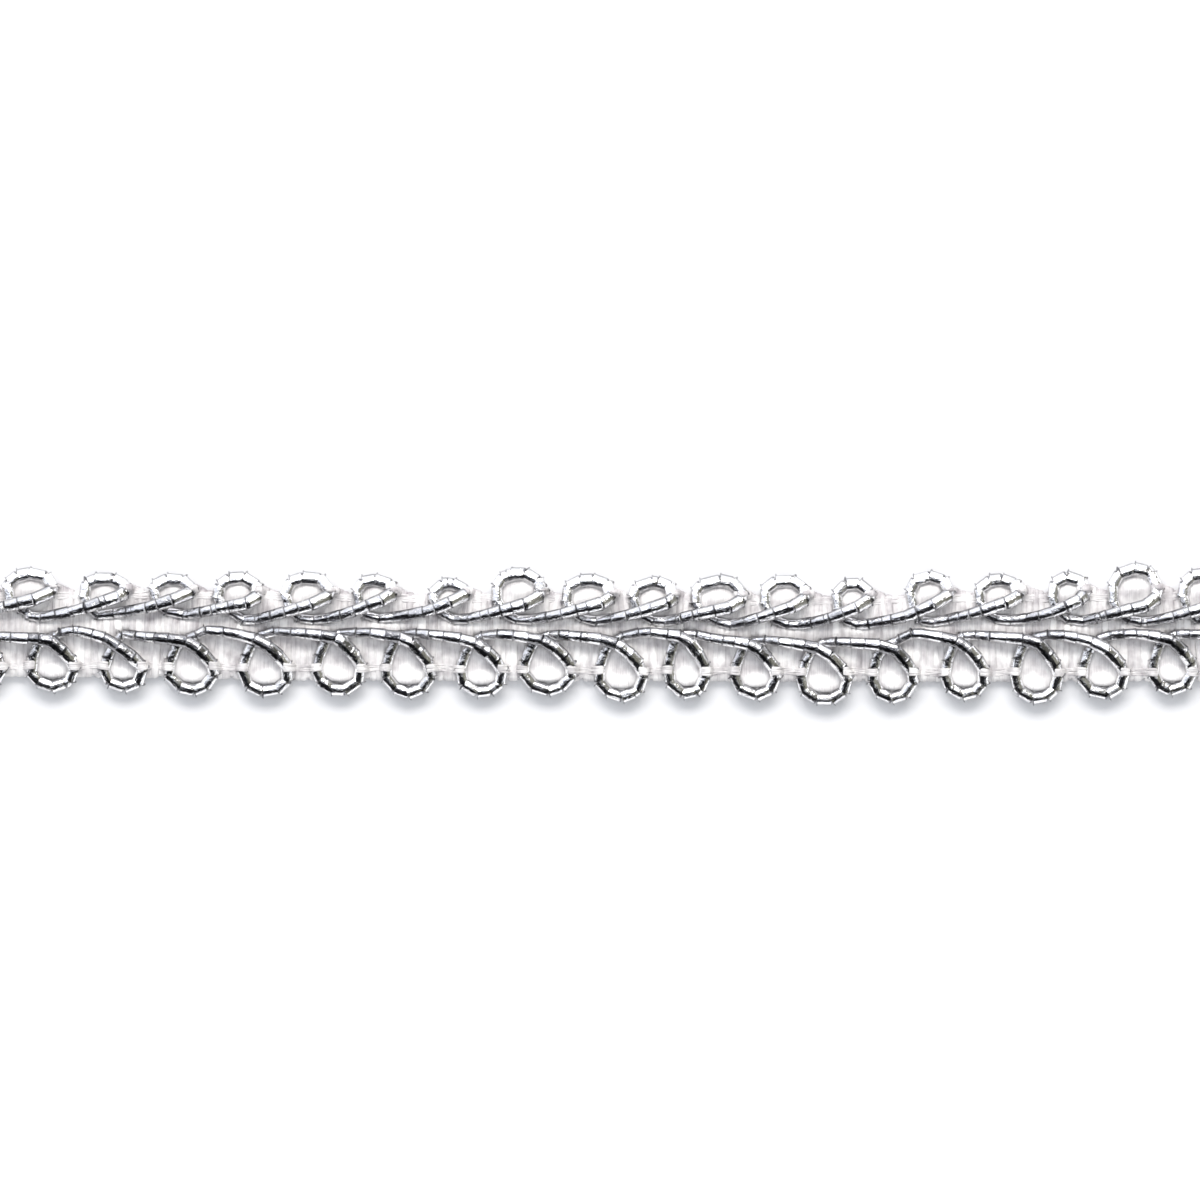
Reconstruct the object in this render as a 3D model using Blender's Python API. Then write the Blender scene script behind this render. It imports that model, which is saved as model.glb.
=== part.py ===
"""A cut length of scroll gimp braid, a narrow lace braid trim in silver.

A knitted ground tape carries two foil-wrapped gimp cords. Each cord runs along its side of the
tape in a row of loops: its stem crosses over the loop's near side, goes round the loop and comes
back under itself to start the next stem. +X runs along the braid, +Y across it to the upper cord
and +Z out of its face. The origin is the middle of the flat back. Tables are in millimetres.
"""

import math

import bmesh
import bpy
from mathutils import Vector
from mathutils.kdtree import KDTree

MM = 0.001

LENGTH = 87.0
CORD_RADIUS = 0.38
WRAP_STEP = 0.92
CURVE_STEPS = 12
CORD_END_SETBACK = 0.35

TAPE_COLUMNS = 126
TAPE_ROWS = 13
TAPE_EDGE_HEIGHT = 0.70
TAPE_WEB_HEIGHT = 0.95
PUFF_HEIGHT = 0.30
PUFF_RADIUS = 0.95
FILL_INSET = 0.48
BED_CLEARANCE = 0.47
BED_FLOOR = 0.36
RIM_SHARPNESS = 8

# How far the tape reaches from the centre line between the loops, on each side.
TAPE_EDGES = (
    # at, upper, lower
    (-43.5, 2.82, 2.65),
    (-29.0, 2.82, 2.78),
    (-19.0, 2.66, 2.95),
    (-2.0, 2.55, 2.98),
    (8.0, 2.40, 3.00),
    (18.0, 2.48, 3.02),
    (27.0, 2.80, 3.02),
    (43.5, 2.88, 2.98),
)

# Each loop of the cord below the centre line, from left to right: where the loop's middle is along
# the braid, how wide it is over the cord and how far its tip reaches. Then the stem that leads
# into it: where its crest is, how far out that lies, and how far out it crosses the loop's middle.
# Out is away from the centre line.
LOWER_LOOPS = (
    # middle, width, tip, stem_at, stem_out, stem_end
    (-39.60, 3.40, 3.55, -43.60, 0.00, 0.45),
    (-35.05, 3.50, 3.65, -38.40, 0.15, 0.38),
    (-30.50, 3.25, 3.70, -33.90, -0.28, 0.90),
    (-26.15, 3.65, 3.88, -29.45, 0.12, 0.50),
    (-21.40, 3.70, 4.00, -25.10, -0.28, 0.55),
    (-16.70, 3.60, 3.90, -19.65, -0.13, 0.26),
    (-12.25, 3.65, 4.05, -15.05, -0.13, 0.32),
    (-7.60, 3.45, 4.05, -11.05, -0.02, 0.70),
    (-3.35, 3.85, 3.90, -6.40, -0.02, 0.45),
    (1.35, 3.60, 4.30, -2.55, 0.02, 0.70),
    (5.55, 3.15, 4.15, 2.90, -0.15, 0.26),
    (9.95, 3.40, 4.22, 7.35, 0.28, 0.75),
    (14.35, 3.70, 4.55, 11.20, 0.42, 1.02),
    (18.75, 3.35, 4.40, 15.25, 0.48, 0.85),
    (23.35, 3.25, 4.20, 19.95, -0.06, 0.70),
    (27.95, 3.50, 4.45, 24.95, 0.12, 0.45),
    (32.20, 3.45, 4.15, 29.10, 0.00, 0.78),
    (36.65, 3.25, 3.90, 34.10, -0.06, 0.38),
    (41.20, 3.25, 3.95, 38.50, 0.00, 0.45),
)

# The same for the cord above the centre line. Its stems end at the loop's far side.
UPPER_LOOPS = (
    # middle, width, tip, stem_at, stem_out, stem_end
    (-40.95, 3.60, 4.10, -44.90, 1.15, 2.25),
    (-36.45, 3.65, 4.28, -39.20, 1.40, 2.42),
    (-31.70, 3.50, 3.98, -36.10, 1.10, 2.42),
    (-27.35, 3.15, 3.93, -31.00, 1.38, 2.45),
    (-23.15, 3.35, 4.03, -26.55, 1.30, 2.08),
    (-18.70, 3.60, 4.03, -22.60, 0.90, 2.15),
    (-14.40, 3.10, 3.88, -17.80, 0.98, 2.35),
    (-9.65, 2.90, 3.63, -13.45, 1.09, 2.32),
    (-5.20, 3.60, 4.28, -8.95, 0.95, 2.10),
    (-0.70, 3.70, 3.88, -4.80, 0.90, 2.05),
    (3.45, 3.35, 3.73, -0.30, 0.86, 2.00),
    (7.60, 3.75, 3.83, 4.20, 0.84, 1.82),
    (11.85, 3.40, 3.83, 8.30, 0.62, 1.95),
    (16.20, 2.90, 3.63, 12.90, 0.66, 1.95),
    (21.10, 3.20, 4.08, 16.95, 0.66, 2.20),
    (25.55, 3.35, 3.88, 22.05, 0.93, 2.20),
    (30.00, 2.80, 4.08, 26.60, 0.93, 2.20),
    (34.25, 3.60, 4.58, 30.90, 0.87, 1.95),
    (38.70, 3.50, 4.28, 34.95, 0.83, 2.00),
    (43.10, 3.30, 4.10, 39.70, 0.90, 2.10),
)

# The way round one loop: a share of the way along it from its left side to its right, how far out,
# where 0 is the stem's crest, 1 the stem's end and 2 the tip, and the height over the back.
LOWER_WAY = (
    # along, out, height
    (0.04, 0.42, 1.98),
    (0.46, 1.00, 2.06),
    (0.78, 1.25, 1.86),
    (0.97, 1.48, 1.50),
    (1.00, 1.68, 1.20),
    (0.88, 1.88, 1.06),
    (0.53, 2.02, 1.05),
    (0.17, 1.90, 1.06),
    (0.00, 1.68, 1.10),
    (0.03, 1.42, 1.14),
    (0.14, 1.14, 1.17),
    (0.31, 0.62, 1.19),
    (0.54, 0.15, 1.27),
)
UPPER_WAY = (
    # along, out, height
    (-0.20, 0.30, 1.88),
    (0.30, 0.63, 2.07),
    (0.76, 0.94, 1.99),
    (1.00, 1.26, 1.56),
    (0.97, 1.66, 1.20),
    (0.78, 1.94, 1.06),
    (0.48, 2.02, 1.05),
    (0.16, 1.88, 1.05),
    (0.00, 1.50, 1.09),
    (0.02, 1.03, 1.15),
    (0.16, 0.38, 1.18),
    (0.40, 0.07, 1.20),
)
CREST_HEIGHT = {-1: 1.72, 1: 1.30}
LAST_CREST_RUN = 1.9


def fresh_scene():
    for old in list(bpy.data.objects):
        bpy.data.objects.remove(old)
    collection = bpy.data.collections.new("scroll_gimp_braid")
    bpy.context.scene.collection.children.link(collection)
    return collection


def material(name, color, roughness, metallic):
    made = bpy.data.materials.new(name)
    made.use_nodes = True
    shader = made.node_tree.nodes["Principled BSDF"]
    shader.inputs["Base Color"].default_value = (*color, 1.0)
    shader.inputs["Roughness"].default_value = roughness
    shader.inputs["Metallic"].default_value = metallic
    return made


def stations(loops, way, side):
    """The points that a cord passes: side is 1 for the upper cord and -1 for the lower one."""
    points = []
    for middle, width, tip, stem_at, stem_out, stem_end in loops:
        points.append(Vector((stem_at, side * stem_out, CREST_HEIGHT[side])))
        left = middle - width / 2 + CORD_RADIUS
        right = middle + width / 2 - CORD_RADIUS
        reach = tip - CORD_RADIUS
        for along, out, height in way:
            x = left + along * (right - left)
            if out < 1:
                y = stem_out + out * (stem_end - stem_out)
            else:
                y = stem_end + (out - 1) * (reach - stem_end)
            points.append(Vector((x, side * y, height)))
    points.append(Vector((points[-1].x + LAST_CREST_RUN, side * stem_out, CREST_HEIGHT[side])))
    return points


def smooth_way(points):
    """A Catmull-Rom curve through the points."""
    ends = [2 * points[0] - points[1], *points, 2 * points[-1] - points[-2]]
    curve = []
    for before, start, end, after in zip(ends, ends[1:], ends[2:], ends[3:]):
        for step in range(CURVE_STEPS):
            t = step / CURVE_STEPS
            bend = (2 * before - 5 * start + 4 * end - after) * t * t
            twist = (3 * start - before - 3 * end + after) * t * t * t
            curve.append(start + ((end - before) * t + bend + twist) / 2)
    curve.append(points[-1])
    return curve


def within_length(curve):
    """The stretch of a curve between the two cut ends of the braid."""
    limit = LENGTH / 2 - CORD_END_SETBACK
    first = max(i for i, point in enumerate(curve) if point.x < -limit) + 1
    last = next((i for i, point in enumerate(curve) if point.x > limit), len(curve))
    return curve[first:last]


def even_steps(curve, step):
    """Points the same distance apart along a curve, one for each turn of the foil."""
    lengths = [0.0]
    for start, end in zip(curve, curve[1:]):
        lengths.append(lengths[-1] + (end - start).length)
    count = round(lengths[-1] / step)
    points = []
    i = 0
    for k in range(count + 1):
        wanted = lengths[-1] * k / count
        while i < len(curve) - 2 and lengths[i + 1] < wanted:
            i += 1
        share = (wanted - lengths[i]) / (lengths[i + 1] - lengths[i])
        points.append(curve[i].lerp(curve[i + 1], share))
    return points


def gimp_cord(name, points, foil, collection):
    """A round cord along straight steps, as stiff foil turns make it."""
    data = bpy.data.curves.new(name, "CURVE")
    data.dimensions = "3D"
    data.bevel_depth = CORD_RADIUS * MM
    data.bevel_resolution = 1
    data.use_fill_caps = True
    spline = data.splines.new("POLY")
    spline.points.add(len(points) - 1)
    for target, point in zip(spline.points, points):
        target.co = (*(point * MM), 1.0)
    data.materials.append(foil)
    cord = bpy.data.objects.new(name, data)
    collection.objects.link(cord)
    return cord


def between_rows(rows, at):
    """The values of a table's row at a place along the braid, worked out between two rows."""
    for start, end in zip(rows, rows[1:]):
        if at <= end[0]:
            break
    share = min(max((at - start[0]) / (end[0] - start[0]), 0.0), 1.0)
    return [a + share * (b - a) for a, b in zip(start[1:], end[1:])]


def edge_reach(x, loops, base):
    """How far the tape reaches from the centre line: it fills each loop to its inner side."""
    reach = base
    for middle, width, tip, *_ in loops:
        filled = tip - CORD_RADIUS - FILL_INSET
        half = width / 2 - CORD_RADIUS
        offset = abs(x - middle) / half
        if filled > base and offset < 1:
            reach += (filled - base) * math.sqrt(1 - offset * offset)
    return reach


def puff(x, y):
    """How far the knitting stands up inside the nearest loop."""
    height = 0.0
    for loops, side in ((UPPER_LOOPS, 1), (LOWER_LOOPS, -1)):
        for middle, _, tip, _, _, stem_end in loops:
            out = (stem_end + tip - CORD_RADIUS) / 2
            distance = math.hypot(x - middle, y - side * out) / PUFF_RADIUS
            if distance < 1:
                height += 0.5 + 0.5 * math.cos(math.pi * distance)
    return PUFF_HEIGHT * height


def bed_height(x, y, wanted, flat_tree, points):
    """Lowers the tape's face where a cord lies over it, so that it clears the cord."""
    reach = CORD_RADIUS + BED_CLEARANCE
    height = wanted
    for _, index, distance in flat_tree.find_range((x, y, 0.0), reach):
        drop = math.sqrt(reach * reach - distance * distance)
        height = min(height, points[index].z - drop)
    return max(height, BED_FLOOR)


def ground_tape(curves, yarn, collection):
    """The knitted tape: a slab with scalloped edges, a bed under each cord and puffed loops."""
    points = [point for curve in curves for point in curve]
    flat_tree = KDTree(len(points))
    for i, point in enumerate(points):
        flat_tree.insert((point.x, point.y, 0.0), i)
    flat_tree.balance()

    bm = bmesh.new()
    bmesh.ops.create_grid(bm, x_segments=TAPE_COLUMNS, y_segments=TAPE_ROWS, size=1.0)
    for vert in bm.verts:
        x = vert.co.x * LENGTH / 2
        across = vert.co.y
        upper, lower = between_rows(TAPE_EDGES, x)
        reach = edge_reach(x, UPPER_LOOPS, upper) if across > 0 else edge_reach(x, LOWER_LOOPS, lower)
        y = across * reach
        rim = across**RIM_SHARPNESS
        wanted = TAPE_WEB_HEIGHT + (TAPE_EDGE_HEIGHT - TAPE_WEB_HEIGHT) * rim + puff(x, y)
        vert.co = Vector((x, y, bed_height(x, y, wanted, flat_tree, points))) * MM
    rim_edges = [edge for edge in bm.edges if edge.is_boundary]
    walls = bmesh.ops.extrude_edge_only(bm, edges=rim_edges)
    for piece in walls["geom"]:
        if isinstance(piece, bmesh.types.BMVert):
            piece.co.z = 0.0
    open_edges = [edge for edge in bm.edges if edge.is_boundary]
    bmesh.ops.edgeloop_fill(bm, edges=open_edges)
    bmesh.ops.recalc_face_normals(bm, faces=bm.faces)
    mesh = bpy.data.meshes.new("ground_tape")
    bm.to_mesh(mesh)
    bm.free()
    mesh.materials.append(yarn)
    tape = bpy.data.objects.new("ground_tape", mesh)
    collection.objects.link(tape)
    return tape


def build():
    collection = fresh_scene()
    foil = material("silver_foil", (0.86, 0.87, 0.89), 0.14, 1.0)
    yarn = material("ground_yarn", (0.74, 0.71, 0.72), 0.5, 0.0)
    curves = []
    for name, loops, way, side in (
        ("upper_gimp", UPPER_LOOPS, UPPER_WAY, 1),
        ("lower_gimp", LOWER_LOOPS, LOWER_WAY, -1),
    ):
        curve = within_length(smooth_way(stations(loops, way, side)))
        gimp_cord(name, even_steps(curve, WRAP_STEP), foil, collection)
        curves.append(curve)
    ground_tape(curves, yarn, collection)


build()
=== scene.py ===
"""The looks of the scroll gimp braid: foil-wrapped cords, knitted ground, light and camera.

Lengths are in millimetres until a mesh is made. +X runs along the braid, +Y across it to the
upper cord, +Z out of its face, as in the frame.
"""

import math

import bpy
import numpy as np
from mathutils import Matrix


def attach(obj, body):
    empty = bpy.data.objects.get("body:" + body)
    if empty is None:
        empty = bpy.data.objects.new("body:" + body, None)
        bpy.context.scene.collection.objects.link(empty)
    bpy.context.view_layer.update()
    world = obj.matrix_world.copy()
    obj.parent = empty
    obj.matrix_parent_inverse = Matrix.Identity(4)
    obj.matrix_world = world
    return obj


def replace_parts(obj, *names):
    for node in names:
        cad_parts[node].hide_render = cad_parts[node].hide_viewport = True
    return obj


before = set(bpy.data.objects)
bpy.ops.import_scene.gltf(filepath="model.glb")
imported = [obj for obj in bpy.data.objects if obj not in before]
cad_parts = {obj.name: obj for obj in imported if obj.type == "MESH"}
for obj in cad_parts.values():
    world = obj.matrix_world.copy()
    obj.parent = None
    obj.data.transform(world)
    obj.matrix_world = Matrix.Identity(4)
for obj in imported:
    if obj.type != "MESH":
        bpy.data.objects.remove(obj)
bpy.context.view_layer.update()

MM = 0.001
rng = np.random.default_rng(11)

# The braid's own sizes, as its solids have them.
LENGTH = 87.0
CORD_RADIUS = 0.38
CORD_END_SETBACK = 0.35
CURVE_STEPS = 12
FILL_INSET = 0.40

TAPE_EDGES = (
    # at, upper, lower
    (-43.5, 2.82, 2.65),
    (-29.0, 2.82, 2.78),
    (-19.0, 2.66, 2.95),
    (-2.0, 2.55, 2.98),
    (8.0, 2.40, 3.00),
    (18.0, 2.48, 3.02),
    (27.0, 2.80, 3.02),
    (43.5, 2.88, 2.98),
)

LOWER_LOOPS = (
    # middle, width, tip, stem_at, stem_out, stem_end
    (-39.60, 3.40, 3.55, -43.60, 0.00, 0.45),
    (-35.05, 3.50, 3.65, -38.40, 0.15, 0.38),
    (-30.50, 3.25, 3.70, -33.90, -0.28, 0.90),
    (-26.15, 3.65, 3.88, -29.45, 0.12, 0.50),
    (-21.40, 3.70, 4.00, -25.10, -0.28, 0.55),
    (-16.70, 3.60, 3.90, -19.65, -0.13, 0.26),
    (-12.25, 3.65, 4.05, -15.05, -0.13, 0.32),
    (-7.60, 3.45, 4.05, -11.05, -0.02, 0.70),
    (-3.35, 3.85, 3.90, -6.40, -0.02, 0.45),
    (1.35, 3.60, 4.30, -2.55, 0.02, 0.70),
    (5.55, 3.15, 4.15, 2.90, -0.15, 0.26),
    (9.95, 3.40, 4.22, 7.35, 0.28, 0.75),
    (14.35, 3.70, 4.55, 11.20, 0.42, 1.02),
    (18.75, 3.35, 4.40, 15.25, 0.48, 0.85),
    (23.35, 3.25, 4.20, 19.95, -0.06, 0.70),
    (27.95, 3.50, 4.45, 24.95, 0.12, 0.45),
    (32.20, 3.45, 4.15, 29.10, 0.00, 0.78),
    (36.65, 3.25, 3.90, 34.10, -0.06, 0.38),
    (41.20, 3.25, 3.95, 38.50, 0.00, 0.45),
)

UPPER_LOOPS = (
    # middle, width, tip, stem_at, stem_out, stem_end
    (-40.95, 3.60, 4.10, -44.90, 1.15, 2.25),
    (-36.45, 3.65, 4.28, -39.20, 1.40, 2.42),
    (-31.70, 3.50, 3.98, -36.10, 1.10, 2.42),
    (-27.35, 3.15, 3.93, -31.00, 1.38, 2.45),
    (-23.15, 3.35, 4.03, -26.55, 1.30, 2.08),
    (-18.70, 3.60, 4.03, -22.60, 0.90, 2.15),
    (-14.40, 3.10, 3.88, -17.80, 0.98, 2.35),
    (-9.65, 2.90, 3.63, -13.45, 1.09, 2.32),
    (-5.20, 3.60, 4.28, -8.95, 0.95, 2.10),
    (-0.70, 3.70, 3.88, -4.80, 0.90, 2.05),
    (3.45, 3.35, 3.73, -0.30, 0.86, 2.00),
    (7.60, 3.75, 3.83, 4.20, 0.84, 1.82),
    (11.85, 3.40, 3.83, 8.30, 0.62, 1.95),
    (16.20, 2.90, 3.63, 12.90, 0.66, 1.95),
    (21.10, 3.20, 4.08, 16.95, 0.66, 2.20),
    (25.55, 3.35, 3.88, 22.05, 0.93, 2.20),
    (30.00, 2.80, 4.08, 26.60, 0.93, 2.20),
    (34.25, 3.60, 4.58, 30.90, 0.87, 1.95),
    (38.70, 3.50, 4.28, 34.95, 0.83, 2.00),
    (43.10, 3.30, 4.10, 39.70, 0.90, 2.10),
)

LOWER_WAY = (
    # along, out, height, girth
    (0.04, 0.42, 1.98, 1.02),
    (0.46, 1.00, 2.06, 1.10),
    (0.78, 1.25, 1.86, 1.12),
    (0.97, 1.48, 1.50, 1.02),
    (1.00, 1.68, 1.20, 0.98),
    (0.88, 1.88, 1.06, 1.00),
    (0.53, 2.02, 1.05, 1.04),
    (0.17, 1.90, 1.06, 1.00),
    (0.00, 1.68, 1.10, 0.96),
    (0.03, 1.42, 1.14, 0.98),
    (0.14, 1.14, 1.17, 0.94),
    (0.31, 0.62, 1.19, 0.84),
    (0.54, 0.15, 1.27, 0.82),
)
UPPER_WAY = (
    # along, out, height, girth
    (-0.20, 0.30, 1.88, 0.98),
    (0.30, 0.63, 2.07, 1.08),
    (0.76, 0.94, 1.99, 1.16),
    (1.00, 1.26, 1.56, 0.96),
    (0.97, 1.66, 1.20, 0.94),
    (0.78, 1.94, 1.06, 1.00),
    (0.48, 2.02, 1.05, 1.04),
    (0.16, 1.88, 1.05, 1.00),
    (0.00, 1.50, 1.09, 0.96),
    (0.02, 1.03, 1.15, 0.94),
    (0.16, 0.38, 1.18, 0.80),
    (0.40, 0.07, 1.20, 0.78),
)
CREST_HEIGHT = {-1: 1.72, 1: 1.30}
CREST_GIRTH = 0.88
LAST_CREST_RUN = 1.9

# Fields of height over the back, on a fine grid that covers the braid.
CELL = 0.05
FIELD_X = np.arange(-44.5, 44.5 + CELL, CELL)
FIELD_Y = np.arange(-5.2, 5.2 + CELL, CELL)


def stations(loops, way, side):
    """The points that a cord passes and its girth there: side is 1 above, -1 below."""
    points = []
    for middle, width, tip, stem_at, stem_out, stem_end in loops:
        points.append((stem_at, side * stem_out, CREST_HEIGHT[side], CREST_GIRTH))
        left = middle - width / 2 + CORD_RADIUS
        right = middle + width / 2 - CORD_RADIUS
        reach = tip - CORD_RADIUS
        for along, out, height, girth in way:
            x = left + along * (right - left)
            if out < 1:
                y = stem_out + out * (stem_end - stem_out)
            else:
                y = stem_end + (out - 1) * (reach - stem_end)
            points.append((x, side * y, height, girth))
    last = (points[-1][0] + LAST_CREST_RUN, side * stem_out, CREST_HEIGHT[side], CREST_GIRTH)
    points.append(last)
    return np.array(points)


def smooth_way(points):
    """A Catmull-Rom curve through the points."""
    ends = np.vstack([2 * points[0] - points[1], points, 2 * points[-1] - points[-2]])
    curve = []
    for before, start, end, after in zip(ends, ends[1:], ends[2:], ends[3:]):
        for t in np.arange(CURVE_STEPS) / CURVE_STEPS:
            bend = (2 * before - 5 * start + 4 * end - after) * t * t
            twist = (3 * start - before - 3 * end + after) * t * t * t
            curve.append(start + ((end - before) * t + bend + twist) / 2)
    curve.append(points[-1])
    return np.array(curve)


def within_length(curve):
    """The stretch of a curve between the two cut ends of the braid."""
    limit = LENGTH / 2 - CORD_END_SETBACK
    first = np.flatnonzero(curve[:, 0] < -limit).max() + 1
    past = np.flatnonzero(curve[:, 0] > limit)
    return curve[first : past.min() if len(past) else len(curve)]


def run_of(curve):
    """The distance along a curve at each of its points."""
    steps = np.linalg.norm(np.diff(curve[:, :3], axis=0), axis=1)
    return np.concatenate([[0.0], np.cumsum(steps)])


def at_run(curve, run, wanted):
    """The values of a curve at the wanted distances along it."""
    return np.stack([np.interp(wanted, run, column) for column in curve.T], axis=-1)


CURVES = {
    "upper": within_length(smooth_way(stations(UPPER_LOOPS, UPPER_WAY, 1))),
    "lower": within_length(smooth_way(stations(LOWER_LOOPS, LOWER_WAY, -1))),
}


# The ground tape's edges and face

SHOULDER_RISE = 0.42
SHOULDER_RUN = 1.25
WEB_HEIGHT = 0.98
CENTRE_RISE = 0.30
CENTRE_AT = 0.45
CENTRE_SPREAD = 0.85
PUFF_HEIGHT = 0.30
PUFF_RADIUS = 1.05
BOWL_HEIGHT = 0.50
BOWL_INSET = 1.02
BOWL_RUN = 1.25
BOWL_WIDTH_SHARE = 0.40
EDGE_DROP = 0.40
CORD_BED = 0.36
WEB_OVER = 0.06
WEB_RADIUS = (0.62, 0.44)


def plain_edge(x, side):
    """How far the tape reaches from the centre line at x, between the loops."""
    rows = np.array(TAPE_EDGES)
    return np.interp(x, rows[:, 0], rows[:, 1 if side > 0 else 2])


def edge_reach(x, side):
    """How far the tape reaches from the centre line at x, with each loop filled."""
    base = plain_edge(x, side)
    reach = base.copy()
    for middle, width, tip, *_ in UPPER_LOOPS if side > 0 else LOWER_LOOPS:
        filled = tip - CORD_RADIUS - FILL_INSET
        half = width / 2 - CORD_RADIUS
        offset = np.clip(np.abs(x - middle) / half, 0, 1)
        dome = np.maximum(filled - base, 0) * np.sqrt(1 - offset**2)
        reach = np.maximum(reach, base + dome)
        if side > 0:
            past = (x - middle - width / 2 + 0.1) / SHOULDER_RUN
            slope = SHOULDER_RISE * (1 - np.clip(past, 0, 1)) ** 1.5
            reach = np.maximum(reach, base + np.where(past > -0.3, slope, 0))
    return reach


def web_share(x, y):
    """1 where a web of yarn covers the right side of an upper loop, 0 elsewhere."""
    share = np.zeros(np.shape(x))
    for middle, width, tip, _, _, stem_end in UPPER_LOOPS:
        across = x - (middle + width / 2 - CORD_RADIUS + 0.05)
        out = y - (stem_end + 0.47 * (tip - stem_end))
        flat = (across / WEB_RADIUS[0]) ** 2 + (out / WEB_RADIUS[1]) ** 2
        share = np.maximum(share, np.clip((1 - flat) / 0.4, 0, 1))
    return share


def make_fields():
    """The height of the tape's face and of the cords' tops, over the whole grid."""
    x, y = np.meshgrid(FIELD_X, FIELD_Y, indexing="ij")
    reach = np.where(y > 0, edge_reach(x, 1), edge_reach(x, -1))
    across = np.clip(np.abs(y) / reach, 0, 1)
    face = WEB_HEIGHT + CENTRE_RISE * np.exp(-(((y - CENTRE_AT) / CENTRE_SPREAD) ** 2))
    face -= EDGE_DROP * across**6
    for middle, _, tip, _, _, stem_end in UPPER_LOOPS:
        out = (stem_end + tip - CORD_RADIUS) / 2
        distance = np.clip(np.hypot(x - middle, y - out) / PUFF_RADIUS, 0, 1)
        face += PUFF_HEIGHT * (0.5 + 0.5 * np.cos(np.pi * distance))
    for middle, width, tip, *_ in LOWER_LOOPS:
        out = -(tip - BOWL_INSET)
        aside = (x - middle) / (BOWL_WIDTH_SHARE * width)
        distance = np.clip(np.hypot(aside, (y - out) / BOWL_RUN), 0, 1)
        face += BOWL_HEIGHT * (0.5 + 0.5 * np.cos(np.pi * distance))
    top = np.full(face.shape, 0.0)
    reach_cells = int(CORD_RADIUS * 1.2 / CELL) + 1
    for curve in CURVES.values():
        run = run_of(curve)
        fine = at_run(curve, run, np.arange(0, run[-1], CELL))
        for px, py, pz, girth in fine:
            i = int(round((px - FIELD_X[0]) / CELL))
            j = int(round((py - FIELD_Y[0]) / CELL))
            window = np.s_[
                max(i - reach_cells, 0) : i + reach_cells + 1,
                max(j - reach_cells, 0) : j + reach_cells + 1,
            ]
            flat = (x[window] - px) ** 2 + (y[window] - py) ** 2
            bed = np.sqrt(np.maximum(CORD_BED**2 - flat, 0))
            dipped = np.minimum(face[window], pz - bed)
            face[window] = np.where(flat < CORD_BED**2, dipped, face[window])
            radius = CORD_RADIUS * girth
            dome = pz + np.sqrt(np.maximum(radius**2 - flat, 0))
            top[window] = np.where(flat < radius**2, np.maximum(top[window], dome), top[window])
    face += web_share(x, y) * (np.maximum(face, top) + WEB_OVER - face)
    return face, top


FACE, CORD_TOP = make_fields()


def look_up(field, x, y):
    """The field's value at each place, smoothed between cells."""
    fx = np.clip((np.asarray(x) - FIELD_X[0]) / CELL, 0, len(FIELD_X) - 1.001)
    fy = np.clip((np.asarray(y) - FIELD_Y[0]) / CELL, 0, len(FIELD_Y) - 1.001)
    i, j = fx.astype(int), fy.astype(int)
    u, v = fx - i, fy - j
    low = field[i, j] * (1 - v) + field[i, j + 1] * v
    high = field[i + 1, j] * (1 - v) + field[i + 1, j + 1] * v
    return low * (1 - u) + high * u


# Meshes from rings of points


class MeshParts:
    """Collects tubes and grids into one mesh with a UV map in millimetres and a tint."""

    def __init__(self):
        self.points, self.faces, self.uvs, self.tints = [], [], [], []
        self.count = 0

    def tube(self, rings, along, tint, closed=False):
        """rings is steps x sides x 3, along the distance of each step; closed joins the ends."""
        steps, sides, _ = rings.shape
        index = self.count + np.arange(steps * sides).reshape(steps, sides)
        radius = np.linalg.norm(rings - rings.mean(axis=1, keepdims=True), axis=2).mean()
        around = np.arange(sides + 1) / sides * 2 * math.pi * radius
        last = steps if closed else steps - 1
        for k in range(last):
            m = (k + 1) % steps
            a0 = along[k]
            a1 = along[m] if m else along[k] + (along[1] - along[0])
            for s in range(sides):
                n = (s + 1) % sides
                self.faces.append((index[k, s], index[k, n], index[m, n], index[m, s]))
                self.uvs += [(a0, around[s]), (a0, around[s + 1]), (a1, around[s + 1]), (a1, around[s])]
        if not closed:
            for ring, order in ((index[0], -1), (index[-1], 1)):
                self.faces.append(tuple(ring[::order]))
                self.uvs += [(0.0, 0.0)] * sides
        self.points.append(rings.reshape(-1, 3))
        self.tints.append(np.broadcast_to(tint, (steps, sides)).reshape(-1))
        self.count += steps * sides

    def grid(self, points, tint):
        """points is rows x columns x 3, an open sheet."""
        rows, columns, _ = points.shape
        index = self.count + np.arange(rows * columns).reshape(rows, columns)
        for r in range(rows - 1):
            for c in range(columns - 1):
                face = (index[r, c], index[r + 1, c], index[r + 1, c + 1], index[r, c + 1])
                self.faces.append(face)
                corners = points[[r, r + 1, r + 1, r], [c, c, c + 1, c + 1]]
                self.uvs += [(p[1], p[0]) for p in corners]
        self.points.append(points.reshape(-1, 3))
        self.tints.append(np.broadcast_to(tint, (rows, columns)).reshape(-1))
        self.count += rows * columns

    def object(self, name, material, slot, sharp_degrees=None):
        mesh = bpy.data.meshes.new(name)
        points = np.vstack(self.points) * MM
        mesh.from_pydata(points.tolist(), [], [tuple(int(i) for i in face) for face in self.faces])
        layer = mesh.uv_layers.new(name="thread")
        layer.data.foreach_set("uv", np.array(self.uvs, np.float32).ravel())
        tint = mesh.attributes.new("tint", "FLOAT", "POINT")
        tint.data.foreach_set("value", np.concatenate(self.tints).astype(np.float32))
        mesh.shade_smooth()
        if sharp_degrees:
            mesh.set_sharp_from_angle(angle=math.radians(sharp_degrees))
        mesh.materials.append(material)
        made = bpy.data.objects.new(name, mesh)
        bpy.context.scene.collection.objects.link(made)
        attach(made, "root")
        return made


def unit(vectors):
    return vectors / np.maximum(np.linalg.norm(vectors, axis=-1, keepdims=True), 1e-9)


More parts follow.
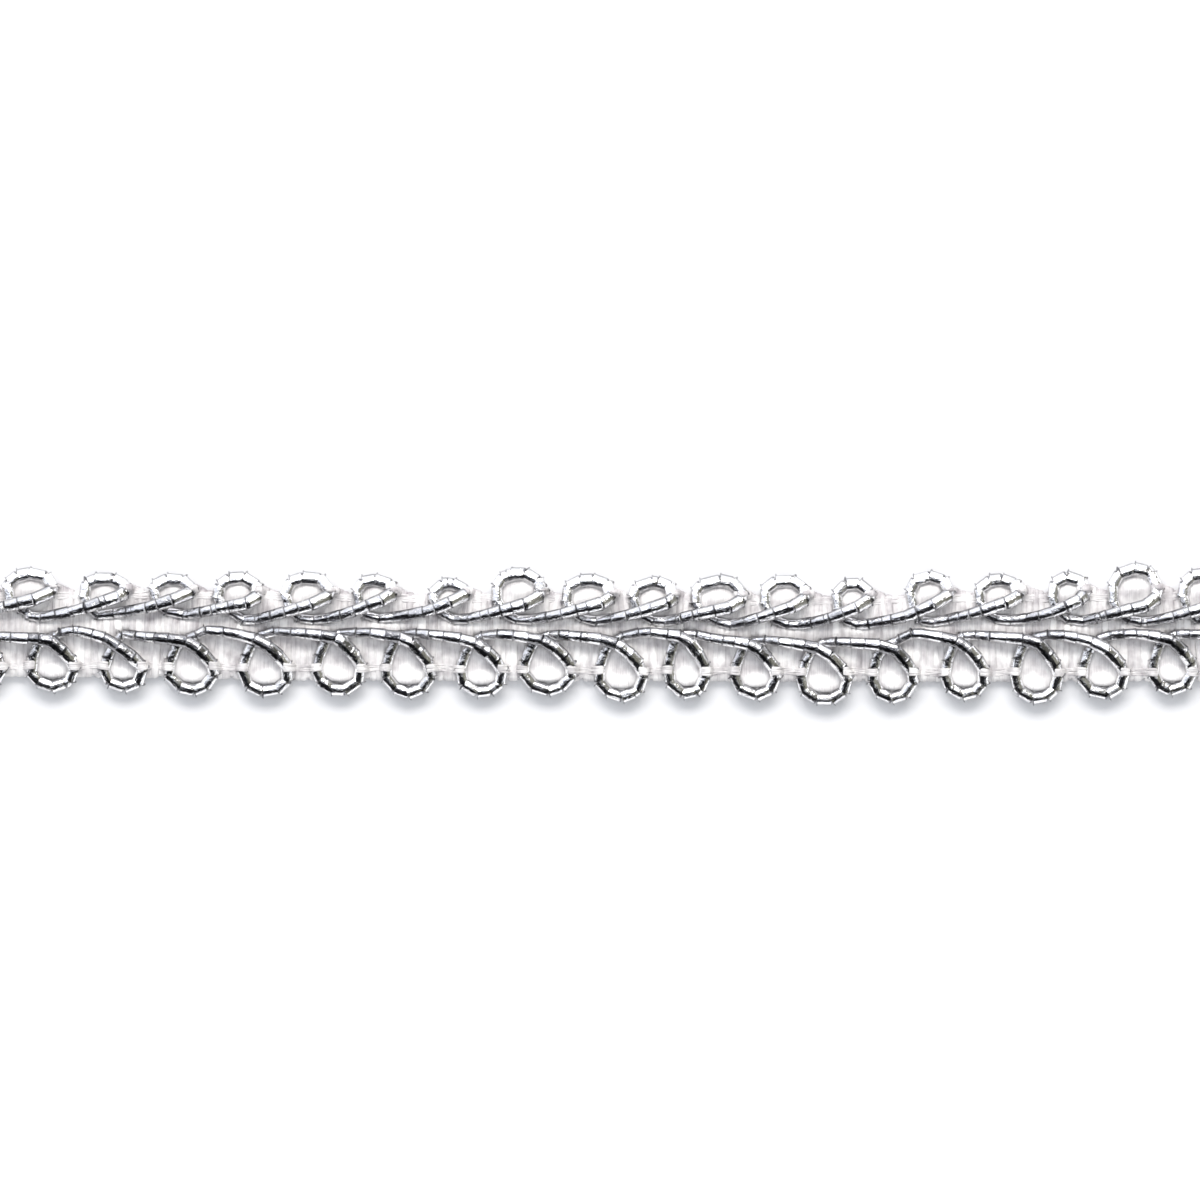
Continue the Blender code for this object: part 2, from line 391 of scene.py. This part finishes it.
def ring_angles(sides):
    """The directions of a ring's points."""
    return np.arange(sides) / sides * 2 * math.pi


def rings_along(path, wide, high, sides):
    """Oval rings square to a path: wide lies level and high stands up, each per step."""
    ahead = unit(np.gradient(path, axis=0))
    level = unit(np.cross(np.broadcast_to((0.0, 0.0, 1.0), ahead.shape), ahead))
    up = np.cross(ahead, level)
    angle = ring_angles(sides)
    across = np.cos(angle)[None, :] * np.broadcast_to(wide, len(path))[:, None]
    above = np.sin(angle)[None, :] * np.broadcast_to(high, len(path))[:, None]
    return path[:, None] + across[..., None] * level[:, None] + above[..., None] * up[:, None]


# Materials


def new_material(name):
    made = bpy.data.materials.new(name)
    made.use_nodes = True
    return made, made.node_tree.nodes, made.node_tree.links


def thread_coordinates(nodes, links, along_scale, around_scale):
    """The UV map's millimetres, stretched along the thread."""
    uv = nodes.new("ShaderNodeUVMap")
    uv.uv_map = "thread"
    stretch = nodes.new("ShaderNodeMapping")
    stretch.inputs["Scale"].default_value = (along_scale, around_scale, 1.0)
    links.new(uv.outputs["UV"], stretch.inputs["Vector"])
    return stretch.outputs["Vector"]


CREASES = (
    # scale along a millimetre, scale around, detail, strength, depth in mm
    (0.9, 8.0, 4.0, 0.45, 0.05),
    (3.0, 4.0, 3.0, 0.60, 0.08),
)


def foil_material():
    """Bright silver foil strip: long fine creases, a roughness that changes from place to place, and a
    base colour darkened by the tint, which holds painted shade, painted dark reflections and turns
    darker at random.
    """
    made, nodes, links = new_material("silver_foil_strip")
    shader = nodes["Principled BSDF"]
    shader.inputs["Metallic"].default_value = 1.0

    seam = nodes.new("ShaderNodeAttribute")
    seam.attribute_name = "tint"
    ramp = nodes.new("ShaderNodeValToRGB")
    ramp.color_ramp.elements[0].color = (0.96, 0.96, 0.97, 1.0)
    ramp.color_ramp.elements[1].color = (0.16, 0.16, 0.17, 1.0)
    links.new(seam.outputs["Fac"], ramp.inputs["Fac"])
    links.new(ramp.outputs["Color"], shader.inputs["Base Color"])

    dull = nodes.new("ShaderNodeTexNoise")
    dull.inputs["Scale"].default_value = 1.6
    dull.inputs["Detail"].default_value = 3.0
    links.new(thread_coordinates(nodes, links, 1.0, 1.0), dull.inputs["Vector"])
    roughness = nodes.new("ShaderNodeMapRange")
    roughness.inputs["To Min"].default_value = 0.06
    roughness.inputs["To Max"].default_value = 0.24
    links.new(dull.outputs["Fac"], roughness.inputs["Value"])
    links.new(roughness.outputs["Result"], shader.inputs["Roughness"])

    normal = None
    for along_scale, around_scale, detail, strength, depth in CREASES:
        creases = nodes.new("ShaderNodeTexNoise")
        creases.inputs["Scale"].default_value = 1.0
        creases.inputs["Detail"].default_value = detail
        creases.inputs["Roughness"].default_value = 0.6
        coordinates = thread_coordinates(nodes, links, along_scale, around_scale)
        links.new(coordinates, creases.inputs["Vector"])
        bump = nodes.new("ShaderNodeBump")
        bump.inputs["Strength"].default_value = strength
        bump.inputs["Distance"].default_value = depth * MM
        links.new(creases.outputs["Fac"], bump.inputs["Height"])
        if normal:
            links.new(normal, bump.inputs["Normal"])
        normal = bump.outputs["Normal"]
    links.new(normal, shader.inputs["Normal"])
    return made


def yarn_material(name, dark, light, filaments):
    """Satin filament yarn: fine filaments along the thread and a soft change of tone, with the tint's
    painted highlights, painted sheen and painted shade on top.
    """
    made, nodes, links = new_material(name)
    shader = nodes["Principled BSDF"]
    shader.inputs["Sheen Weight"].default_value = 0.12
    shader.inputs["Sheen Roughness"].default_value = 0.4
    shader.inputs["Roughness"].default_value = 0.48
    shader.inputs["Specular IOR Level"].default_value = 0.35

    strands = nodes.new("ShaderNodeTexNoise")
    strands.inputs["Scale"].default_value = 1.0
    strands.inputs["Detail"].default_value = 3.0
    links.new(thread_coordinates(nodes, links, 0.7, filaments), strands.inputs["Vector"])
    place = nodes.new("ShaderNodeTexCoord")
    mottle = nodes.new("ShaderNodeTexNoise")
    mottle.inputs["Scale"].default_value = 1100.0
    mottle.inputs["Detail"].default_value = 4.0
    links.new(place.outputs["Object"], mottle.inputs["Vector"])
    tint = nodes.new("ShaderNodeAttribute")
    tint.attribute_name = "tint"
    tone = nodes.new("ShaderNodeMath")
    tone.operation = "MULTIPLY_ADD"
    tone.inputs[1].default_value = 0.45
    links.new(strands.outputs["Fac"], tone.inputs[0])
    links.new(mottle.outputs["Fac"], tone.inputs[2])
    total = nodes.new("ShaderNodeMath")
    total.operation = "ADD"
    links.new(tone.outputs["Value"], total.inputs[0])
    links.new(tint.outputs["Fac"], total.inputs[1])
    ramp = nodes.new("ShaderNodeValToRGB")
    ramp.color_ramp.elements[0].position = 0.3
    ramp.color_ramp.elements[0].color = (*dark, 1.0)
    ramp.color_ramp.elements[1].color = (*light, 1.0)
    links.new(total.outputs["Value"], ramp.inputs["Fac"])
    links.new(ramp.outputs["Color"], shader.inputs["Base Color"])
    bump = nodes.new("ShaderNodeBump")
    bump.inputs["Strength"].default_value = 0.3
    bump.inputs["Distance"].default_value = 0.00003
    links.new(strands.outputs["Fac"], bump.inputs["Height"])
    links.new(bump.outputs["Normal"], shader.inputs["Normal"])
    return made


# The foil-wrapped cords: a straight sleeve for each turn of the foil strip

WRAP = 0.90
WRAP_SPREAD = 0.12
NARROW_WRAP = 0.34
NARROW_SHARE = 0.08
FOIL_SIDES = 22
FLATNESS = 0.78
ARC_FLATNESS = 0.64
ARC_LEAN = 0.32
ARC_FROM = 2.5
ARC_OVER = 0.8
TUCK = 0.06
SEAM = 0.06
LIP = 0.03
SLANT = 0.03
SLANT_SPREAD = 0.05
MOST_BEND = 0.6
FLARE = 0.20
FOIL_RIPPLES = (
    # waves round the turn, size as a share of its radius
    (2, 0.026),
    (3, 0.024),
    (5, 0.014),
    (7, 0.009),
)
ANY_PHASE = 6.28

# How dark parts of the foil are painted: painted shade on the sides low down, painted shade as a dark
# outline on the side towards +Y, whole turns darker at random, and a painted dark reflection on turns
# high on the lower cord.
RIM_PAINTED_SHADE = 0.62
RIM_FROM = 0.62
RIM_OVER = 0.60
BACK_RIM_DARK = 0.60
BACK_RIM_FROM = 0.48
BACK_RIM_OVER = 0.25
GREY_SHARE = 0.22
DARK_TURN_PAINTED_REFLECTION = 0.80
DARK_TURN_HEIGHT = 1.90
DARK_TURN_SEAM = 0.70

# The wide mouth of foil at the end of an upper stem.
HOOD_PLACE = 0.45
HOOD_SIZE = 1.24
HOOD_LIP = 0.12
# Painted shade at the hood's tuck and at its mouth where the next turn goes in; grey between, darker
# towards the mouth.
HOOD_TINTS = (1.0, 1.0, 0.15, 0.25, 0.40, 1.0, 1.0)
HOOD_LEAST_HEIGHT = 1.5
HOOD_REACH = 0.8


def wrap_lengths(total):
    """The lengths of the foil's turns: mostly even, with a narrow one here and there."""
    lengths = []
    while sum(lengths) < total:
        if rng.random() < NARROW_SHARE:
            lengths.append(NARROW_WRAP)
        else:
            lengths.append(WRAP + WRAP_SPREAD * rng.standard_normal())
    return np.array(lengths) * total / sum(lengths)


def hood_marks(curve, run, loops, side):
    """Where each stem of the upper cord ends in a wide mouth of foil, as distances along it."""
    marks = []
    for middle, width, _, _, _, stem_end in loops:
        x = middle + width * HOOD_PLACE
        near = np.hypot(curve[:, 0] - x, curve[:, 1] - side * stem_end)
        near = near + 2 * (curve[:, 2] < HOOD_LEAST_HEIGHT)
        if near.min() < HOOD_REACH:
            marks.append(run[near.argmin()])
    return marks


def foil_ripple(angle):
    """Small dents round a turn of foil, as a share of its radius."""
    ripple = np.zeros(len(angle))
    for waves, size in FOIL_RIPPLES:
        ripple += size * rng.standard_normal() * np.cos(waves * angle + rng.uniform(0, ANY_PHASE))
    return ripple


def foil_profile(length, hooded, high):
    """Where the rings of one turn of foil stand, how wide they are and how dark they are painted, with
    painted shade at the grooves between turns.
    """
    # The turn's two edges are painted dark by a random amount, as shade in the grooves between turns;
    # some turns are darker at random.
    seam = rng.uniform(0.55, 1.0)
    grey = rng.uniform(0.15, 0.4) if rng.random() < GREY_SHARE else 0.0
    # Turns high on the lower cord get a painted dark reflection.
    if high and seam > DARK_TURN_SEAM:
        grey = DARK_TURN_PAINTED_REFLECTION
    if hooded:
        places = (-TUCK, 0.0, SEAM, length * 0.5, length - HOOD_LIP, length, length + LIP)
        sizes = (0.82, 0.92, 0.975, 1.06, HOOD_SIZE * 0.96, HOOD_SIZE, HOOD_SIZE * 0.85)
        return places, sizes, HOOD_TINTS
    # The tuck and the lip are painted fully dark, as shade in the grooves between turns.
    places = (-TUCK, 0.0, SEAM, length * 0.5, length - SEAM, length, length + LIP)
    sizes = (0.82, 0.92, 0.975, 1.0, 1.02, 1.035, 0.90)
    tints = (1.0, seam, max(grey, 0.15), grey, max(grey, 0.1), seam, 1.0)
    return places, sizes, tints


def foil_cord(name, curve, material, node, hoods=()):
    """The cord as a row of straight turns of foil, each tucked into the one before."""
    run = run_of(curve)
    marks = np.concatenate([[0.0], np.cumsum(wrap_lengths(run[-1]))])
    hooded = set()
    for hood in hoods:
        nearest = int(np.abs(marks[1:-1] - hood).argmin()) + 1
        marks[nearest] = hood
        hooded.add(nearest - 1)
    joints = at_run(curve, run, marks)
    parts = MeshParts()
    angle = ring_angles(FOIL_SIDES)
    # Painted shade on the low sides of every turn.
    rim = RIM_PAINTED_SHADE * np.clip((RIM_FROM - np.sin(angle)) / RIM_OVER, 0, 1)
    headings = unit(np.diff(joints[:, :3], axis=0))
    for k, heading in enumerate(headings):
        start, end = joints[k, :3], joints[k + 1, :3]
        length = np.linalg.norm(end - start)
        level = unit(np.cross((0.0, 0.0, 1.0), heading))
        up = np.cross(heading, level)
        outer = np.clip((abs(start[1] + end[1]) / 2 - ARC_FROM) / ARC_OVER, 0, 1) * (start[1] > 0)
        lean = ARC_LEAN * outer * level[1]
        level = unit(level * math.cos(lean) - up * math.sin(lean))
        up = np.cross(heading, level)
        flatness = FLATNESS + (ARC_FLATNESS - FLATNESS) * outer
        following = headings[min(k + 1, len(headings) - 1)]
        turn = following - heading * (following @ heading)
        bend = np.linalg.norm(turn)
        outward = -turn / max(bend, 1e-6)
        toward = np.cos(angle) * (outward @ level) + np.sin(angle) * (outward @ up)
        ripple = foil_ripple(angle)
        slant = SLANT_SPREAD * rng.standard_normal() + SLANT
        # Turns high up on the lower cord are marked for a painted dark reflection.
        high = start[1] < 0 and (start[2] + end[2]) / 2 > DARK_TURN_HEIGHT
        places, sizes, tints = foil_profile(length, k in hooded, high)
        flare = min(bend, MOST_BEND) * FLARE * np.clip(toward, 0, 1) ** 3 * (k not in hooded)
        rings = []
        for place, size in zip(places, sizes):
            share = min(max(place / length, 0.0), 1.0)
            girth = joints[k, 3] * (1 - share) + joints[k + 1, 3] * share
            radius = CORD_RADIUS * girth * size * (1 + ripple)
            if place >= length:
                radius = radius + flare
            shift = place + slant * np.sin(angle) * (0.3 if place < 0 else 1.0)
            ring = start + heading * shift[:, None]
            ring = ring + level * (radius * np.cos(angle))[:, None]
            ring = ring + up * (flatness * radius * np.sin(angle))[:, None]
            rings.append(ring)
        # Painted shade as a dark outline on the side of each turn towards +Y.
        back = np.clip((np.cos(angle) * level[1] - BACK_RIM_FROM) / BACK_RIM_OVER, 0, 1)
        shade = np.maximum(np.array(tints)[:, None], (rim + BACK_RIM_DARK * back)[None, :])
        parts.tube(np.array(rings), marks[k] + np.array(places), shade)
    made = parts.object(name, material, "silver_foil", sharp_degrees=32)
    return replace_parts(made, node)


CORD_CORE_RADIUS = 0.20
CORD_CORE_END_RADIUS = 0.27
CORD_CORE_OUT = 0.07
CORD_CORE_STEP = 0.30


def cord_core(name, curve, material):
    """The yarn that the foil is wound on, which shows where the cord is cut."""
    run = run_of(curve)
    path = at_run(curve, run, np.arange(0, run[-1], CORD_CORE_STEP))[:, :3]
    first = curve[0, :3] - CORD_CORE_OUT * unit(curve[1, :3] - curve[0, :3])
    last = curve[-1, :3] + CORD_CORE_OUT * unit(curve[-1, :3] - curve[-2, :3])
    path = np.vstack([first, path, curve[-1, :3], last])
    radius = np.full(len(path), CORD_CORE_RADIUS)
    radius[[0, 1, -2, -1]] = CORD_CORE_END_RADIUS
    parts = MeshParts()
    parts.tube(rings_along(path, radius, radius * FLATNESS, 10), run_of(path), 0.1)
    return parts.object(name, material, "ground_yarn")


# The knitted ground: a core sheet, weft yarns across it and wales along its edges

WEFT_STEP = 0.40
WEFT_HALF_WIDTH = 0.27
WEFT_HALF_HEIGHT = 0.13
WEFT_SIDES = 8
FACE_STEPS = 34
BACK_STEPS = 8
CORE_DEPTH = 0.075
PUFF_OVER = 0.13
BACK_HEIGHT = 0.13

# How much paler the yarn is: a painted highlight low in each loop, paler along the lower edge and in
# the middle, painted shade at the top, and painted glints on a share of the wefts.
LOOP_PAINTED_HIGHLIGHT = {1: 0.40, -1: 0.27}
LOOP_GLOW_INSET = 1.35
LOOP_GLOW_HEIGHT = 0.45
EDGE_GLOW = 0.14
CENTRE_GLOW = 0.03
TOP_PAINTED_SHADE = -0.15
# A share of the wefts carry a painted glint across the middle band.
PAINTED_GLINT_SHARE = 0.12
PAINTED_GLINT = 0.8


def in_loop(x, y, side, softness=0.25):
    """1 inside the lower (-1) or upper (1) loops, 0 between them, with a soft edge."""
    value = np.zeros(np.shape(x))
    for middle, width, tip, _, _, stem_end in UPPER_LOOPS if side > 0 else LOWER_LOOPS:
        half = width / 2 - CORD_RADIUS
        out = side * (0.35 * stem_end + 0.65 * (tip - CORD_RADIUS) - half * 0.35)
        flat = ((x - middle) / half) ** 2 + ((y - out) / (half * 1.05)) ** 2
        value = np.maximum(value, np.clip((1.15 - flat) / softness, 0, 1))
    return value


def tone(x, y):
    """How pale the yarn is: a painted highlight low in each loop, paler along the lower edge and the
    middle, painted shade at the top.
    """
    value = np.zeros(np.shape(x))
    for loops, side in ((UPPER_LOOPS, 1), (LOWER_LOOPS, -1)):
        for middle, width, tip, *_ in loops:
            out = side * (tip - LOOP_GLOW_INSET)
            flat = ((x - middle) / (width * 0.30)) ** 2 + ((y - out) / LOOP_GLOW_HEIGHT) ** 2
            value = np.maximum(value, LOOP_PAINTED_HIGHLIGHT[side] * np.exp(-(flat**1.5)))
    value = np.maximum(value, EDGE_GLOW * np.clip((-y - 2.5) / 0.15, 0, 1))
    value = value + CENTRE_GLOW * np.exp(-(((y - 0.6) / 0.9) ** 2))
    # Painted shade along the top edge.
    return value + TOP_PAINTED_SHADE * np.clip((y - 2.25) / 0.4, 0, 1)


def weft_yarns(material):
    """Yarns that cross the tape's face and come back along its underside."""
    parts = MeshParts()
    count = int((LENGTH - 0.6) / WEFT_STEP)
    spots = np.linspace(-LENGTH / 2 + 0.3, LENGTH / 2 - 0.3, count)
    spots = spots + rng.normal(0, 0.05, count)
    share = np.linspace(-1, 1, FACE_STEPS)
    for spot in spots:
        lean = rng.normal(0, 0.13)
        bow = rng.normal(0, 0.10)
        x = spot + lean * share + bow * (share**2 - 0.4)
        reach = np.where(share > 0, edge_reach(x, 1), edge_reach(x, -1))
        y = share * (reach - WEFT_HALF_WIDTH * 0.4)
        covered = np.maximum(in_loop(x, y, -1), web_share(x, y))
        z = look_up(FACE, x, y) - WEFT_HALF_HEIGHT - 0.06 * covered + rng.normal(0, 0.022)
        z = np.maximum(z, 3 * WEFT_HALF_HEIGHT)
        back_share = np.linspace(0.97, -0.97, BACK_STEPS)
        back = np.stack([
            np.interp(back_share, share, x),
            np.interp(back_share, share, y),
            np.full(BACK_STEPS, BACK_HEIGHT),
        ], axis=1)
        path = np.vstack([np.stack([x, y, z], axis=1), back])
        ahead = unit(np.roll(path, -1, axis=0) - np.roll(path, 1, axis=0))
        sideways = np.broadcast_to((1.0, 0.0, 0.0), ahead.shape)
        out = unit(np.cross(sideways, ahead))
        angle = ring_angles(WEFT_SIDES)
        wide = WEFT_HALF_WIDTH * (1 + 0.12 * rng.standard_normal())
        rings = path[:, None] + (wide * np.cos(angle))[None, :, None] * sideways[:, None]
        rings = rings + (WEFT_HALF_HEIGHT * np.sin(angle))[None, :, None] * out[:, None]
        # The tone holds the painted highlights in the loops and the painted shade at the top.
        tint = rng.normal(0, 0.05) + tone(path[:, 0], path[:, 1])
        # A painted glint on a few wefts.
        if rng.random() < PAINTED_GLINT_SHARE:
            tint = tint + PAINTED_GLINT * np.exp(-(((path[:, 1] - 0.5) / 0.34) ** 6))
        # Painted satin sheen on each weft in a band below the middle.
        painted_sheen = max(rng.normal(0.12, 0.22), 0)
        tint = tint + painted_sheen * np.exp(-(((path[:, 1] + 1.5) / 0.38) ** 2))
        parts.tube(rings, run_of(path), tint[:, None], closed=True)
    return parts.object("tape_weft_yarns", material, "ground_yarn")


CORE_STEP = 0.16
CORE_ROWS = 52
CORE_SHEET = 0.15


def tape_core(material):
    """The sheet under the yarns, which swells above them inside the loops."""
    x = np.arange(-LENGTH / 2 + 0.1, LENGTH / 2 - 0.1 + CORE_STEP / 2, CORE_STEP)
    share = np.linspace(-1, 1, CORE_ROWS)
    gx, gs = np.meshgrid(x, share, indexing="ij")
    reach = np.where(gs > 0, edge_reach(gx, 1), edge_reach(gx, -1))
    bulge = reach - np.where(gs > 0, plain_edge(gx, 1), plain_edge(gx, -1))
    reach = reach - 0.12 + 0.17 * np.clip(bulge / 0.25, 0, 1)
    gy = gs * reach
    swell = np.maximum.reduce([in_loop(gx, gy, -1), in_loop(gx, gy, 1), web_share(gx, gy)])
    gz = np.maximum(look_up(FACE, gx, gy) - CORE_DEPTH + PUFF_OVER * swell, 0.25)
    gz = np.where(np.abs(gs) > 0.999, 0.2, gz)
    parts = MeshParts()
    # The tone holds the painted highlights in the loops and the painted shade at the top.
    parts.grid(np.stack([gx, gy, gz], axis=-1), tone(gx, gy))
    made = parts.object("tape_core", material, "ground_yarn")
    solid = made.modifiers.new("thickness", "SOLIDIFY")
    solid.thickness = CORE_SHEET * MM
    solid.offset = -1.0
    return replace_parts(made, "ground_tape")


INLAY_ROWS = (
    # height, count, from, to
    (0.37, 15, -2.3, 2.15),
    (0.60, 15, -2.3, 2.15),
    (0.81, 6, -0.6, 1.1),
)
INLAY_HALF_WIDTH = 0.20
INLAY_HALF_HEIGHT = 0.13
INLAY_STEPS = 40
INLAY_SHORT = 0.02
INLAY_UNEVEN = 0.12


def inlaid_yarns(material):
    """Yarns that run along inside the tape, whose ends show where it is cut."""
    parts = MeshParts()
    for height, count, first, last in INLAY_ROWS:
        for place in np.linspace(first, last, count):
            start, end = (LENGTH / 2 - INLAY_SHORT - INLAY_UNEVEN * rng.random(2)) * (-1, 1)
            x = np.linspace(start, end, INLAY_STEPS)
            y = place + 0.03 * np.sin(x * 0.9 + rng.uniform(0, 6.28))
            path = np.stack([x, y, np.full(INLAY_STEPS, height)], axis=1)
            rings = rings_along(path, INLAY_HALF_WIDTH, INLAY_HALF_HEIGHT, 8)
            parts.tube(rings, run_of(path), rng.normal(0, 0.06))
    return parts.object("tape_inlaid_yarns", material, "ground_yarn")


WALE_STRANDS = 4
WALE_SPREAD = 0.115
STRAND_HALF_WIDTH = 0.085
STRAND_HALF_HEIGHT = 0.065
WALE_STEP = 0.10
WALE_SIDES = 6
LOWER_WALE = ((-43.5, -1.95), (-30.0, -2.02), (-10.0, -2.18), (10.0, -2.36), (43.5, -2.44))
UPPER_WALE = ((-43.5, 2.50), (-29.0, 2.50), (-2.0, 2.24), (8.0, 2.10), (18.0, 2.18), (43.5, 2.55))


def softened(values, cells):
    """A running mean that keeps the length."""
    kernel = np.hanning(cells + 2)[1:-1]
    kernel = kernel / kernel.sum()
    padded = np.pad(values, cells // 2, mode="edge")
    return np.convolve(padded, kernel, mode="valid")[: len(values)]


def crossings(loops):
    """Where a wale meets the sides of the loops."""
    places = []
    for middle, width, *_ in loops:
        places += [middle - width / 2 + CORD_RADIUS, middle + width / 2 - CORD_RADIUS]
    return np.array(places)


def wale(name, route, loops, tied, material):
    """A flat bundle of strands along the edge, under the face inside the loops.

    Where tied is 1, the strands go over the cord at the loops' sides.
    """
    x = np.arange(-LENGTH / 2 + 0.15, LENGTH / 2 - 0.15, WALE_STEP)
    places = np.array(route)
    middle = np.interp(x, places[:, 0], places[:, 1]) + 0.04 * np.sin(x * 1.7)
    distance = np.abs(x[:, None] - crossings(loops)[None, :]).min(axis=1)
    over = np.clip((0.44 - distance) / 0.12, 0, 1) * tied
    sunk = 0.05 + 0.25 * in_loop(x, middle, 1 if middle[0] > 0 else -1)
    parts = MeshParts()
    for strand in range(WALE_STRANDS):
        shift = (strand - (WALE_STRANDS - 1) / 2) * WALE_SPREAD
        sway = 0.03 * np.sin(x * rng.uniform(2.0, 3.5) + rng.uniform(0, 6.28))
        y = middle + shift + sway
        low = look_up(FACE, x, y) - sunk
        level = softened(np.maximum(low, over * (look_up(CORD_TOP, x, y) + 0.01)), 3)
        level = level + 0.015 * np.sin(x * rng.uniform(4.0, 7.0) + rng.uniform(0, 6.28))
        path = np.stack([x, y, level], axis=1)
        rings = rings_along(path, STRAND_HALF_WIDTH, STRAND_HALF_HEIGHT, WALE_SIDES)
        tint = 0.10 * over + rng.normal(0, 0.06)
        parts.tube(rings, run_of(path), tint[:, None])
    return parts.object(name, material, "ground_yarn")


# Floor, lights, camera

# The photo's scale in millimetres a pixel, its side, and the row of the braid's centre line.
PIXEL = 0.064
PHOTO_SIDE = 1200
BRAID_ROW = 634.5
LENS = 200.0
SENSOR = 36.0
FACE_LEVEL = 1.2


def area_light(name, size, energy, colour, location):
    """A rectangular light that points at the braid's middle."""
    data = bpy.data.lights.new(name, "AREA")
    data.shape = "RECTANGLE"
    data.size = size[0]
    data.size_y = size[1]
    data.energy = energy
    data.color = colour
    light = bpy.data.objects.new(name, data)
    light.location = location
    light.rotation_euler = (-math.atan2(location[1], location[2]), 0.0, 0.0)
    bpy.context.scene.collection.objects.link(light)
    return light


def studio():
    """White paper, a key light from the upper side, a soft fill and a camera straight above."""
    scene = bpy.context.scene
    scene.view_settings.view_transform = "Standard"

    bpy.ops.mesh.primitive_plane_add(size=3.0, location=(0, 0, -0.0001))
    floor = bpy.context.object
    floor.name = "floor"
    paper, nodes, _ = new_material("white_paper")
    nodes["Principled BSDF"].inputs["Base Color"].default_value = (0.72, 0.72, 0.725, 1.0)
    nodes["Principled BSDF"].inputs["Roughness"].default_value = 0.9
    nodes["Principled BSDF"].inputs["Specular IOR Level"].default_value = 0.1
    floor.data.materials.append(paper)

    area_light("key", (0.40, 0.18), 2.3, (1.0, 0.975, 0.95), (0.0, 0.30, 0.42))
    fill = area_light("fill", (0.5, 0.5), 1.5, (0.90, 0.94, 1.0), (0.0, -0.10, 0.5))
    fill.visible_glossy = False

    world = bpy.data.worlds.new("studio")
    scene.world = world
    world.use_nodes = True
    room(world.node_tree)

    camera_data = bpy.data.cameras.new("camera")
    camera_data.lens = LENS
    camera_data.sensor_width = SENSOR
    camera_data.clip_start = 0.01
    camera = bpy.data.objects.new("camera", camera_data)
    aside = (BRAID_ROW - PHOTO_SIDE / 2) * PIXEL
    above = PHOTO_SIDE * PIXEL * LENS / SENSOR + FACE_LEVEL
    camera.location = (0.0, aside * MM, above * MM)
    scene.collection.objects.link(camera)
    scene.camera = camera


# The room's patches, as middle x and y, half width, half height and softness of the edge.
DARK_PATCH = (-0.18, -0.36, 0.52, 0.40, 0.12)
GREY_PATCH = (0.46, 0.05, 0.36, 0.48, 0.4)
PALE_ROOM = (1.01, 1.04, 1.14)
OLIVE_ROOM = (0.27, 0.265, 0.225)
BRIGHT_ROOM = (2.0, 2.0, 2.05)
BLACK_ROOM = (0.01, 0.01, 0.012)


def room(tree):
    """A pale room with a dark patch overhead, towards -X and -Y, and a grey side at +X."""
    nodes, links = tree.nodes, tree.links
    background = nodes["Background"]
    place = nodes.new("ShaderNodeTexCoord")
    split = nodes.new("ShaderNodeSeparateXYZ")
    links.new(place.outputs["Generated"], split.inputs["Vector"])

    def math_node(operation, a, b):
        node = nodes.new("ShaderNodeMath")
        node.operation = operation
        for socket, value in zip(node.inputs, (a, b)):
            if isinstance(value, float):
                socket.default_value = value
            else:
                links.new(value, socket)
        return node.outputs["Value"]

    above = math_node("MAXIMUM", math_node("ADD", split.outputs["Z"], 1.0), 0.05)
    qx = math_node("DIVIDE", split.outputs["X"], above)
    qy = math_node("DIVIDE", split.outputs["Y"], above)

    def patch(x, y, wide, high, edge):
        """1 inside an oval patch of the sky and 0 outside it."""
        u = math_node("DIVIDE", math_node("SUBTRACT", qx, x), wide)
        v = math_node("DIVIDE", math_node("SUBTRACT", qy, y), high)
        square = math_node("ADD", math_node("MULTIPLY", u, u), math_node("MULTIPLY", v, v))
        soft = nodes.new("ShaderNodeMapRange")
        soft.interpolation_type = "SMOOTHSTEP"
        soft.inputs["From Min"].default_value = 1.0 - edge
        soft.inputs["From Max"].default_value = 1.0 + edge
        soft.inputs["To Min"].default_value = 1.0
        soft.inputs["To Max"].default_value = 0.0
        links.new(square, soft.inputs["Value"])
        return soft.outputs["Result"]

    dark = patch(*DARK_PATCH)
    grey = patch(*GREY_PATCH)

    def mixed(low, high, factor):
        mix = nodes.new("ShaderNodeMix")
        mix.data_type = "RGBA"
        for name, value in (("A", low), ("B", high)):
            socket = next(s for s in mix.inputs if s.name == name and s.type == "RGBA")
            if isinstance(value, tuple):
                socket.default_value = (*value, 1.0)
            else:
                links.new(value, socket)
        links.new(factor, mix.inputs["Factor"])
        return next(s for s in mix.outputs if s.type == "RGBA")

    horizon = nodes.new("ShaderNodeMapRange")
    horizon.inputs["From Min"].default_value = 0.36
    horizon.inputs["From Max"].default_value = 0.24
    links.new(split.outputs["Z"], horizon.inputs["Value"])
    pale = mixed(PALE_ROOM, OLIVE_ROOM, grey)
    pale = mixed(pale, BRIGHT_ROOM, horizon.outputs["Result"])
    links.new(mixed(pale, BLACK_ROOM, dark), background.inputs["Color"])
    background.inputs["Strength"].default_value = 1.0


def build():
    """All the pieces, then the studio."""
    foil = foil_material()
    weft = yarn_material("weft_yarn", (0.250, 0.222, 0.238), (0.88, 0.86, 0.84), 14.0)
    tape_core(weft)
    upper = CURVES["upper"]
    hoods = hood_marks(upper, run_of(upper), UPPER_LOOPS, 1)
    foil_cord("upper_foil_cord", upper, foil, "upper_gimp", hoods)
    foil_cord("lower_foil_cord", CURVES["lower"], foil, "lower_gimp")
    cord_core("upper_cord_core", upper, weft)
    cord_core("lower_cord_core", CURVES["lower"], weft)
    weft_yarns(weft)
    inlaid_yarns(weft)
    wale("lower_wale", LOWER_WALE, LOWER_LOOPS, 1, weft)
    wale("upper_wale", UPPER_WALE, UPPER_LOOPS, 0, weft)
    studio()


build()
